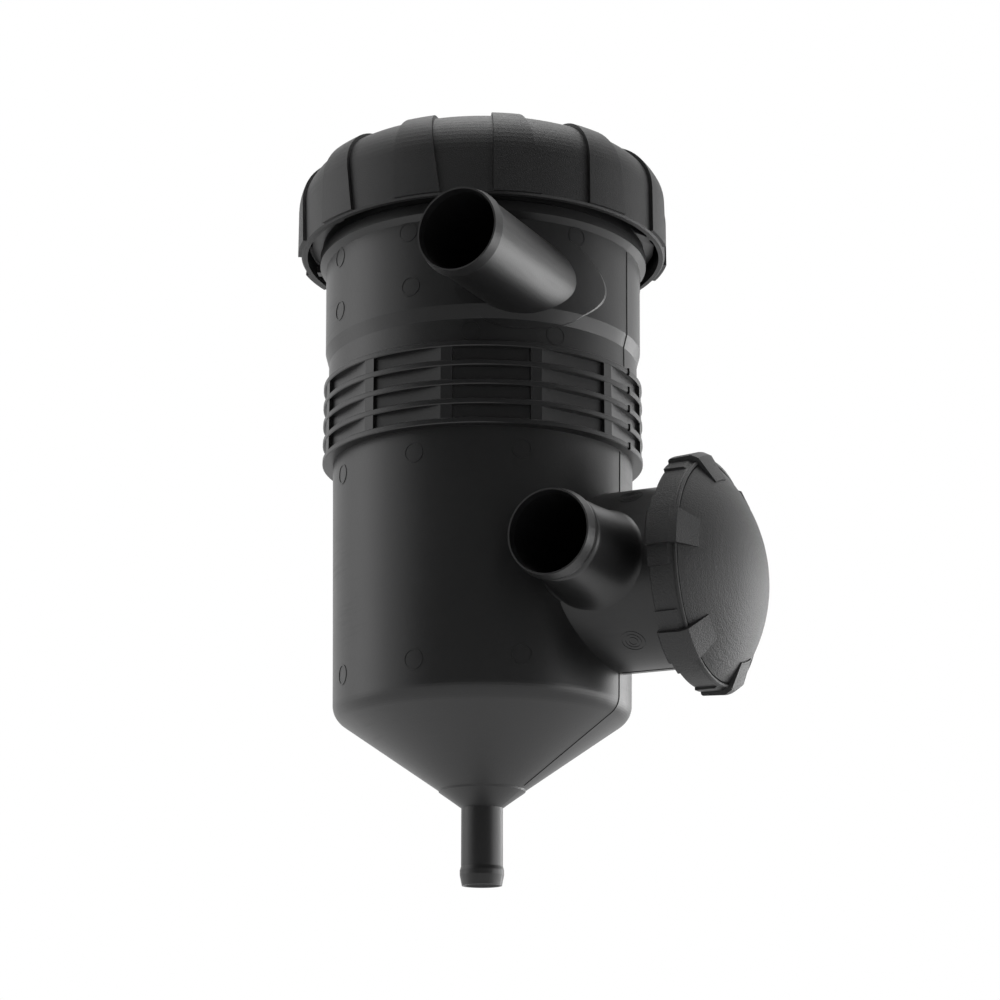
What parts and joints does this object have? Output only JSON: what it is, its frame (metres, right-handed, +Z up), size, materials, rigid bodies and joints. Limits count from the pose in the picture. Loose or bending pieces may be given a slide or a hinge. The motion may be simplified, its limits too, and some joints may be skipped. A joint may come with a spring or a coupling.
{
  "type": "oil separator",
  "caption": "Round crankcase oil separator with screw lid, clamp belt, two hose spigots, drain cone and a side chamber that holds a pressure control valve.",
  "frame": {"origin": "on the body axis, in the middle of the clamp belt", "axes": "+Z up along the body axis to the lid, +X to the side valve chamber, -Y along both hose spigots to their mouths"},
  "size_m": [0.1701, 0.156, 0.2665],
  "materials": {
    "housing_plastic": "smooth satin black glass-filled plastic",
    "lid_plastic": "finely grained black plastic",
    "inner_plastic": "natural moulded plastic",
    "fleece": "pressed fibre fleece",
    "rubber": "smooth black rubber",
    "spring_steel": "bright spring wire"
  },
  "bodies": {
    "housing": {"housing": "housing_plastic", "element_top_cap": "inner_plastic", "element_seal_ring": "rubber", "element_core": "inner_plastic", "coalescing_fleece": "fleece", "element_cage": "inner_plastic", "drain_sleeve": "fleece", "element_bottom_cap": "inner_plastic", "valve_cover": "lid_plastic", "diaphragm": "rubber", "control_spring": "spring_steel"},
    "lid_carrier": {"lid_o_ring": "rubber"},
    "lid": {"lid": "lid_plastic", "relief_cap": "lid_plastic", "relief_spring": "spring_steel"},
    "relief_valve": {"relief_disc": "inner_plastic", "relief_seal": "rubber"},
    "control_valve": {"diaphragm_plate": "inner_plastic", "diaphragm_washer": "inner_plastic"}
  },
  "joints": [
    {"name": "lid_lift", "type": "slide", "parent": "housing", "child": "lid_carrier", "axis": [0, 0, 1], "range_m": [0, 0.024]},
    {"name": "lid_turn", "type": "hinge", "parent": "lid_carrier", "child": "lid", "pos_m": [0, 0, 0.08], "axis": [0, 0, 1], "range_deg": [0, 720]},
    {"name": "relief_lift", "type": "slide", "parent": "lid", "child": "relief_valve", "axis": [0, 0, 1], "range_m": [0, 0.003], "stiffness_N_per_m": 150, "springref_m": -0.007, "deforming": ["relief_spring"]},
    {"name": "control_slide", "type": "slide", "parent": "housing", "child": "control_valve", "axis": [1, 0, 0], "range_m": [-0.005, 0], "stiffness_N_per_m": 80, "springref_m": 0.006, "deforming": ["control_spring", "diaphragm"]}
  ],
  "couplings": [
    {"joint": "lid_lift", "follows": "lid_turn", "m_per_rad": 0.0019099}
  ]
}
